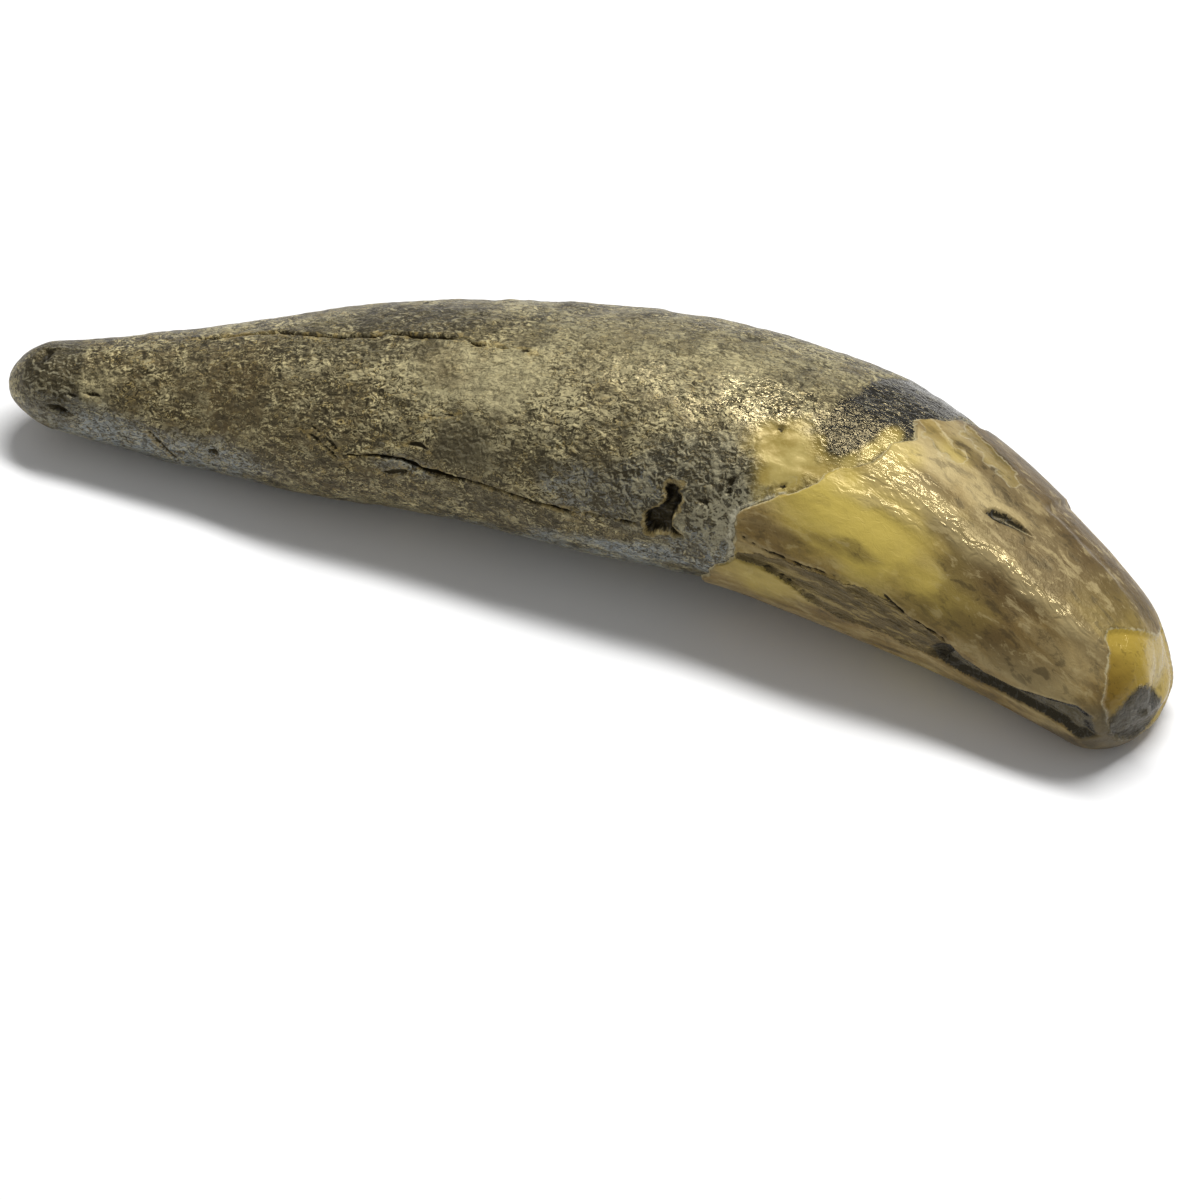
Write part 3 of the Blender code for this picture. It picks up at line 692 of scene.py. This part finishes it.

# each skin: its ground colour, and what is laid over it: a colour or skin, its strength, its masks
# layers on the grain shade and grain light masks lay painted shade and painted light on the grains
skins = {
    "neckSkin": (
        "neckBlack",
        ("poreAndGrainShade", 0.55, "blotchDark"),
        ("mottleFleck", 0.55, "scratchLip", "broken"),
        ("mottleFleck", 0.15, "speckPale"),
        ("poreAndGrainShade", 0.7, "paintedGrainShade"),
    ),
    "dentineSkin": (
        "dentine",
        ("dentinePale", 0.6, "softPale"),
        ("dentinePale", 0.2, "paintedGrainLight"),
    ),
    "bareSkin": (
        "stripBrown",
        ("fleckWarm", 0.45, "fibrePale"),
        ("stripLine", 0.9, "fibreDark"),
    ),
    "darkSkin": ("tipDark", ("tipGrey", 0.2, "softPale")),
    "tipSkin": (
        "tipYellow",
        # painted shade: the chip darkens to amber towards its lower left
        ("tipAmberPaintedShade", 0.9, "tipAmberPaintedShade"),
        ("tipCream", 0.3, "tipEdge"),
        ("poreAndGrainShade", 0.25, "speckDark"),
        ("tipCream", 0.35, "inTipStain"),
        ("darkSkin", 1.0, "inTipStain"),
    ),
    "grooveSkin": (
        "grooveDark",
        ("grooveGrey", 0.7, "fibrePale"),
        ("grooveGrey", 0.5, "paintedGrainLight"),
    ),
    "pitSkin": ("poreAndGrainShade", ("grooveGrey", 0.6, "paintedGrainLight")),
    "crownSkin": (
        "enamel",
        ("enamelPale", 0.38, "wavePale"),
        ("enamelStreak", 0.5, "waveDark"),
        ("enamelDeep", 0.22, "paintedGrainShade"),
        ("enamelPale", 0.4, "finePale"),
        ("enamelDeep", 0.4, "fineDark"),
        ("enamelDeep", 0.45, "fineDark", "waveDark"),
        ("enamelPale", 0.85, "tan"),
        ("enamelYellow", 0.92, "yellow"),
        ("enamelStreak", 0.25, "waveDark", "softPale"),
        ("enamelStreak", 0.92, "streak"),
        ("enamelDeep", 0.75, "streak", "fineDark"),
        ("enamelPale", 0.5, "streak", "finePale"),
        ("enamelDeep", 0.55, "tan", "fineDark"),
        # paler along the crest: partly paler worn enamel, partly a painted highlight over the shine
        ("enamelPale", 0.56, "crest"),
        ("enamelYellow", 0.15, "inScar"),
        ("enamelRim", 0.7, "enamelLip"),
        ("enamelRim", 0.6, "chipLip"),
        ("enamelRim", 0.35, "scarLip", "offScar"),
        ("poreAndGrainShade", 0.5, "chipLip", "paintedGrainShade"),
        ("bareSkin", 0.85, "inStrip"),
        ("tipSkin", 1.0, "inChip"),
        ("grooveDark", 0.8, "darkGreyNearTip"),
        ("grooveSkin", 1.0, "inGroove"),
    ),
    "rootSkin": (
        "root",
        ("rootGrey", 0.55, "greyCloud"),
        ("rootWarm", 0.7, "warm"),
        ("rootPale", 0.75, "cloudPale", "blotchMid"),
        # painted shade and stain: browner towards the underside
        ("rootBrown", 0.5, "under"),
        ("rootPale", 0.95, "pale"),
        ("rootBrown", 0.5, "cloudBrown"),
        ("rootBrown", 0.75, "brown"),
        ("rootDark", 0.92, "dark"),
        ("mottle", 0.85, "inMottle"),
        # painted reflection of the bright surroundings over a grey tint, on the lower side
        ("rootBluePaintedSheen", 1.0, "blueGreyPaintedSheen"),
        ("rootDark", 0.75, "blotchDark", "lively"),
        ("rootPale", 0.6, "blotchPale", "lively"),
        ("rootDark", 0.3, "dashDark", "lively", "livelyCloud"),
        ("fleckWarm", 0.25, "dashPale", "lively"),
        ("fleck", 0.1, "paintedGrainLight", "lively"),
        ("fleck", 0.75, "paintedGrainLight", "lively", "clustered"),
        # more painted reflection on the lower side
        ("rootBluePaintedSheen", 0.4, "blueGreyPaintedSheen"),
        ("poreAndGrainShade", 0.5, "paintedGrainShade", "lively"),
        ("poreAndGrainShade", 0.95, "paintedGrainShade", "lively", "clustered"),
        ("fleck", 0.5, "dashLip", "broken", "lively"),
        ("fleckWarm", 0.6, "scratchLip", "broken", "lively"),
        ("poreAndGrainShade", 0.85, "dashLine", "broken", "lively"),
        ("poreAndGrainShade", 0.9, "scratchLine", "broken", "lively"),
        ("poreAndGrainShade", 0.6, "worn", "paintedGrainShade", "lively"),
        ("poreAndGrainShade", 0.92, "speckDark", "lively"),
        ("poreAndGrainShade", 0.6, "blotchDark", "inMottle"),
        ("mottle", 0.35, "inMottle"),
        ("rootDark", 0.45, "dark"),
        ("mottleFleck", 0.28, "paintedGrainLight", "dark"),
        ("poreAndGrainShade", 0.85, "paintedGrainShade", "dark"),
        ("poreAndGrainShade", 0.65, "paintedGrainShade", "inMottle"),
        ("poreAndGrainShade", 0.5, "blotchDark", "inMottle", "clustered"),
        ("mottleFleck", 0.35, "blotchPale", "inMottle"),
        ("mottleFleck", 0.5, "paintedGrainLight", "inMottle"),
        ("mottleFleck", 0.75, "cellLine", "inCells"),
        ("fleckWarm", 0.5, "pitRim"),
        ("fleckWarm", 0.45, "crackLip", "wormPale"),
        ("neckSkin", 1.0, "inNeck"),
        ("dentineSkin", 0.92, "inDentine"),
        ("dentineSkin", 0.9, "gold"),
        ("crumb", 0.85, "crumbled"),
        ("poreAndGrainShade", 0.45, "crumbled", "paintedGrainShade"),
        ("crownSkin", 1.0, "onEnamel"),
        ("pitSkin", 1.0, "inPit"),
        ("poreAndGrainShade", 1.0, "inCrack"),
    ),
}


def fossilTooth():
    # Mineralised tooth: a root of porous cementum, hard dentine where that is gone, and glassy enamel on the
    # crown. Handled and lightly polished, so the small holes and cracks hold dark dirt and the high parts
    # shine;
    # the grains also carry painted light and shade, as if lit from one side.
    material = bpy.data.materials.new("fossilTooth")
    material.use_nodes = True
    tree = material.node_tree
    shader = tree.nodes["Principled BSDF"]
    # mm along and across the tooth
    made = {"flow": addNode(tree, "Attribute", {"attribute_name": "flow"}, out="Vector")}
    for name in (
        "pastEdge", "strip", "groove", "chip", "tipStain", "tipAmberPaintedShade", "tipEdge", "scar", "pit", "eroded",
        "crack", "crumbs", "cellZone", "crest", "under", "warm", "neckStain", "dentine", "mottle", *stains,
    ):
        made[name] = addNode(tree, "Attribute", {"attribute_name": name}, out="Fac")

    # the same surface drawn out lengthwise, or moved aside: name, scale, shift
    for name, scale, shift in (
        ("longFlow", (0.16, 1, 1), (0, 0, 0)),
        ("fibreFlow", (0.07, 1, 1), (9, 0, 0)),
        ("dashFlow", (0.42, 1, 1), (0, 0, 0)),
        ("wormFlow", (0.76, 1, 1), (0, 0, 0)),
        ("besideFlow", (0.76, 1, 1), (0.08, 0.14, 0.10)),
    ):
        made[name] = addNode(tree, "Mapping", {"Scale": scale, "Location": shift}, {"Vector": made["flow"]})

    # patterns: name, place, how many per mm, layers, roughness of the layers, how far they are pushed about
    for name, place, perMm, layers, rough, pushed in (
        ("cloud", "flow", 0.16, 3, 0.6, 0.0),
        ("greyWave", "besideFlow", 0.27, 3, 0.62, 0.0),
        ("blotch", "wormFlow", 0.62, 4, 0.55, 0.3),
        ("cluster", "flow", 0.42, 3, 0.6, 0.3),
        ("worm", "wormFlow", 1.35, 5, 0.66, 0.8),
        ("dash", "dashFlow", 1.35, 4, 0.62, 0.5),
        ("scratch", "wormFlow", 1.05, 4, 0.65, 0.9),
        ("speck", "wormFlow", 1.7, 2, 0.6, 0.5),
        ("grain", "wormFlow", 1.6, 4, 0.6, 0.9),
        ("grainBeside", "besideFlow", 1.6, 4, 0.6, 0.9),
        ("grit", "flow", 5.0, 3, 0.65, 0.0),
        ("longWave", "longFlow", 0.55, 4, 0.58, 0.5),
        ("softWave", "wormFlow", 0.40, 3, 0.5, 0.4),
        ("fineWave", "dashFlow", 0.9, 5, 0.68, 0.4),
        ("fibre", "fibreFlow", 2.2, 3, 0.6, 0.3),
        ("glaze", "wormFlow", 1.5, 4, 0.62, 1.2),
        ("glint", "dashFlow", 1.5, 1, 0.5, 0.9),
        ("ripple", "wormFlow", 2.0, 1, 0.5, 1.2),
    ):
        settings = {"Scale": perMm, "Detail": layers, "Roughness": rough, "Distortion": pushed}
        made[name] = addNode(tree, "TexNoise", settings, {"Vector": made[place]})
    bent = addNode(tree, "TexNoise", {"Scale": 1.2, "Detail": 2}, {"Vector": made["flow"]}, out="Color")
    settings = {"operation": "MULTIPLY_ADD", 1: (1.3, 1.3, 1.3)}
    bent = addNode(tree, "VectorMath", settings, {0: bent, 2: made["flow"]})
    settings = {"feature": "DISTANCE_TO_EDGE", "Scale": 0.95}
    made["cells"] = addNode(tree, "TexVoronoi", settings, {"Vector": bent})
    # painted light and shade on the grains, as if lit from one side: the pattern less itself a tenth of a mm
    # away
    links = {0: made["grain"], 1: made["grainBeside"]}
    made["relief"] = addNode(tree, "Math", {"operation": "SUBTRACT"}, links)

    # masks: name, what is read, where it is 0 and where it is 1; for an edge that frays, also the pattern
    # that frays it and how much
    for name, source, start, full, *frayed in (
        ("onEnamel", "pastEdge", -0.06, 0.06, "grit", 0.5),
        ("inStrip", "strip", -0.1, 0.1, "grit", 0.6),
        ("inGroove", "groove", -0.08, 0.12, "grit", 0.5),
        ("inChip", "chip", -0.08, 0.08, "grit", 0.4),
        ("inPit", "pit", -0.05, 0.12, "grit", 0.7),
        ("pitRim", "eroded", -0.42, -0.1, "worm", 1.6),
        ("inCrack", "crack", -0.07, 0.0, "grit", 0.15),
        ("crackLip", "crack", -0.5, -0.12, "worm", 1.4),
        ("inNeck", "neckStain", -0.2, 0.25, "worm", 2.4),
        ("inDentine", "dentine", -1.7, 1.1, "blotch", 3.2),
        ("inMottle", "mottle", -1.2, 1.2, "worm", 2.6),
        ("inTipStain", "tipStain", -0.45, 0.35, "worm", 1.6),
        ("cloudPale", "cloud", 0.5, 0.66),
        ("cloudBrown", "cloud", 0.47, 0.35),
        ("greyCloud", "greyWave", 0.48, 0.6),
        ("blotchMid", "blotch", 0.42, 0.52),
        ("blotchDark", "blotch", 0.46, 0.4),
        ("blotchPale", "blotch", 0.54, 0.61),
        ("dashDark", "dash", 0.4, 0.35),
        ("dashPale", "dash", 0.62, 0.68),
        ("broken", "speck", 0.44, 0.5),
        ("speckDark", "speck", 0.385, 0.365),
        ("speckPale", "speck", 0.615, 0.67),
        # painted shade and painted light on the two sides of each grain
        ("paintedGrainShade", "relief", -0.05, -0.076),
        ("paintedGrainLight", "relief", 0.055, 0.085),
        ("clustered", "cluster", 0.47, 0.58),
        ("wormPale", "worm", 0.48, 0.6),
        ("cellLine", "cells", 0.15, 0.05, "grit", 0.12),
        ("inCells", "cellZone", 0.2, 0.7, "worm", 1.2),
        ("crumbled", "crumbs", 0.25, 0.85, "worm", 2.0),
        ("wavePale", "longWave", 0.45, 0.66),
        ("waveDark", "longWave", 0.5, 0.34),
        ("softPale", "softWave", 0.42, 0.62),
        ("fineDark", "fineWave", 0.47, 0.37),
        ("finePale", "fineWave", 0.54, 0.64),
        ("fibreDark", "fibre", 0.46, 0.38),
        ("fibrePale", "fibre", 0.53, 0.62),
        ("enamelLip", "pastEdge", 0.34, 0.02, "worm", 1.2),
        ("chipLip", "chip", -0.26, 0.02, "worm", 1.3),
        ("scarLip", "scar", -0.2, -0.04, "worm", 0.7),
        ("offScar", "scar", 0.12, -0.02, "grit", 0.4),
        ("inScar", "scar", -0.02, 0.12, "grit", 0.4),
    ):
        value, much = made[source], 0
        if frayed:
            pattern, much = frayed
            settings = {"operation": "MULTIPLY_ADD", 1: much}
            value = addNode(tree, "Math", settings, {0: made[pattern], 2: value})
        span = {"From Min": start + much / 2, "From Max": full + much / 2}
        made[name] = addNode(tree, "MapRange", {"interpolation_type": "SMOOTHSTEP", **span}, {"Value": value})
    # thin lines where a pattern passes a level: name, pattern, level, half width
    for name, pattern, level, half in (
        ("dashLine", "dash", 0.46, 0.024),
        ("dashLip", "dash", 0.505, 0.015),
        ("scratchLine", "scratch", 0.53, 0.020),
        ("scratchLip", "scratch", 0.565, 0.012),
        ("worn", "scratch", 0.43, 0.014),
    ):
        made[name] = addNode(tree, "Math", {"operation": "COMPARE", 1: level, 2: half}, {0: made[pattern]})
    # how lively the root's skin is: less where it is worn smooth, and less in parts of the cloud
    for name, source, high, low, first, second in (
        ("lively", "calm", 0.0, 1.0, 1.0, 0.22),
        ("livelyCloud", "cloud", 0.42, 0.60, 1.0, 0.4),
    ):
        span = {"From Min": high, "From Max": low, "To Min": first, "To Max": second}
        made[name] = addNode(tree, "MapRange", span, {"Value": made[source]})

    for skin, (ground, *layers) in skins.items():
        made[skin] = finish[ground]
        for colour, strength, *masks in layers:
            amount = addNode(tree, "Math", {"operation": "MULTIPLY", 1: strength}, {0: made[masks[0]]})
            for mask in masks[1:]:
                amount = addNode(tree, "Math", {"operation": "MULTIPLY"}, {0: amount, 1: made[mask]})
            settings, links = {"data_type": "RGBA"}, {0: amount}
            for socket, value in ((6, made[skin]), (7, finish.get(colour) or made[colour])):
                (settings if isinstance(value, str) else links)[socket] = value
            made[skin] = addNode(tree, "Mix", settings, links, out=2)
    tree.links.new(made["rootSkin"], shader.inputs["Base Color"])

    # shine: enamel and stains are glassy, the root is satin, pits and cracks are dull
    span = {"From Min": 0.3, "From Max": 0.7, "To Min": 0.34, "To Max": 0.52}
    shine = addNode(tree, "MapRange", span, {"Value": made["grit"]})
    for mask, value in (
        ("blueGreyPaintedSheen", 0.26), ("gloss", 0.10), ("inDentine", 0.34), ("inNeck", 0.15), ("gold", 0.16),
        ("inMottle", 0.34), ("onEnamel", 0.42), ("crest", 0.08), ("inChip", 0.20), ("inTipStain", 0.12),
        ("inGroove", 0.24), ("inStrip", 0.35), ("inPit", 0.4), ("inCrack", 0.6),
    ):
        shine = addNode(tree, "Mix", {"data_type": "FLOAT", 3: value}, {0: made[mask], 2: shine})
    tree.links.new(shine, shader.inputs["Roughness"])
    shader.inputs["IOR"].default_value = 1.6  # apatite
    shader.inputs["Metallic"].default_value = 0.0
    shader.inputs["Specular IOR Level"].default_value = 0.5
    shader.inputs["Specular Tint"].default_value = linear("#ffe9b0")  # warm shine of old enamel

    # relief too fine for the mesh, in mm: on which skin, its patterns and how high
    for skin, patterns in (
        ("rootHeight", (("blotch", 0.2), ("worm", 0.12), ("grain", 0.16),
                       ("dashLine", -0.05), ("scratchLine", -0.05), ("speckDark", -0.08))),
        ("glossHeight", (("ripple", 0.1), ("blotch", 0.08))),
        ("neckHeight", (("ripple", 0.17), ("worm", 0.08))),
        ("dentineHeight", (("blotch", 0.03), ("grain", 0.02))),
        ("crestHeight", (("glint", 0.27), ("ripple", 0.04), ("glaze", 0.02))),
        ("stainHeight", (("worm", 0.4),)),
        ("crownHeight", (("glaze", 0.06), ("longWave", 0.05))),
        ("stripHeight", (("fibre", 0.25), ("worm", 0.15))),
    ):
        for pattern, height in patterns:
            links = {0: made[pattern]} | ({2: made[skin]} if skin in made else {})
            settings = {"operation": "MULTIPLY_ADD", 1: height, 2: 0.0}
            made[skin] = addNode(tree, "Math", settings, links)
    height = made["rootHeight"]
    for mask, skin in (
        ("gloss", "glossHeight"), ("inNeck", "neckHeight"), ("gold", "glossHeight"),
        ("inDentine", "dentineHeight"), ("onEnamel", "crownHeight"), ("crest", "crestHeight"),
        ("inStrip", "stripHeight"), ("inTipStain", "stainHeight"),
    ):
        height = addNode(tree, "Mix", {"data_type": "FLOAT"}, {0: made[mask], 2: height, 3: made[skin]})
    bump = addNode(tree, "Bump", {"Strength": 1.0, "Distance": 0.001}, {"Height": height})
    tree.links.new(bump, shader.inputs["Normal"])
    return material


toothSurface.data.materials.append(fossilTooth())
print("finish laid on the tooth")


studio = {
    "floor": "#f4f4f4",
    "floorSide": 3.0,
    "floorRoughness": 0.6,
    "floorSpecular": 0.2,
    "world": 0.31,
    "keyWay": (0.09, 0.36, 0.92),  # from the tooth towards the long softbox overhead
    "keyDistance": 0.55,
    "keySize": (0.40, 0.10),
    "keyPower": 3.5,
    "lookAt": (0.0051, -0.01495, 0.00585),
    "distance": 0.43,
    "azimuth": 18,
    "elevation": 50,
    "lens": 141.25,
}


def setFloor():
    mesh = bpy.data.meshes.new("floor")
    side = studio["floorSide"]
    corners = [(-side, -side, 0), (side, -side, 0), (side, side, 0), (-side, side, 0)]
    mesh.from_pydata(corners, [], [(0, 1, 2, 3)])
    floor = bpy.data.objects.new("floor", mesh)
    bpy.context.scene.collection.objects.link(floor)
    material = bpy.data.materials.new("whiteCard")
    material.use_nodes = True
    shader = material.node_tree.nodes["Principled BSDF"]
    shader.inputs["Base Color"].default_value = linear(studio["floor"])
    shader.inputs["Roughness"].default_value = studio["floorRoughness"]
    shader.inputs["Specular IOR Level"].default_value = studio["floorSpecular"]
    mesh.materials.append(material)


def setLight():
    world = bpy.data.worlds.new("softRoom")
    bpy.context.scene.world = world
    world.use_nodes = True
    background = world.node_tree.nodes["Background"]
    background.inputs["Color"].default_value = linear("#ffffff")
    background.inputs["Strength"].default_value = studio["world"]
    light = bpy.data.lights.new("softbox", "AREA")
    light.shape = "RECTANGLE"
    light.size, light.size_y = studio["keySize"]
    light.energy = studio["keyPower"]
    key = bpy.data.objects.new("softbox", light)
    way = Vector(studio["keyWay"]).normalized()
    key.location = way * studio["keyDistance"]
    key.rotation_euler = way.to_track_quat("Z", "Y").to_euler()
    bpy.context.scene.collection.objects.link(key)


def setCamera():
    camera = bpy.data.objects.new("camera", bpy.data.cameras.new("camera"))
    camera.data.lens = studio["lens"]
    camera.data.sensor_width = 36
    camera.data.clip_start = 0.01
    side, up = np.radians(studio["azimuth"]), np.radians(studio["elevation"])
    way = Vector((np.sin(side) * np.cos(up), -np.cos(side) * np.cos(up), np.sin(up)))
    camera.location = Vector(studio["lookAt"]) + way * studio["distance"]
    camera.rotation_euler = way.to_track_quat("Z", "Y").to_euler()
    bpy.context.scene.collection.objects.link(camera)
    bpy.context.scene.camera = camera


setFloor()
setLight()
setCamera()
bpy.context.scene.view_settings.view_transform = "Standard"
print("floor, light and camera set")
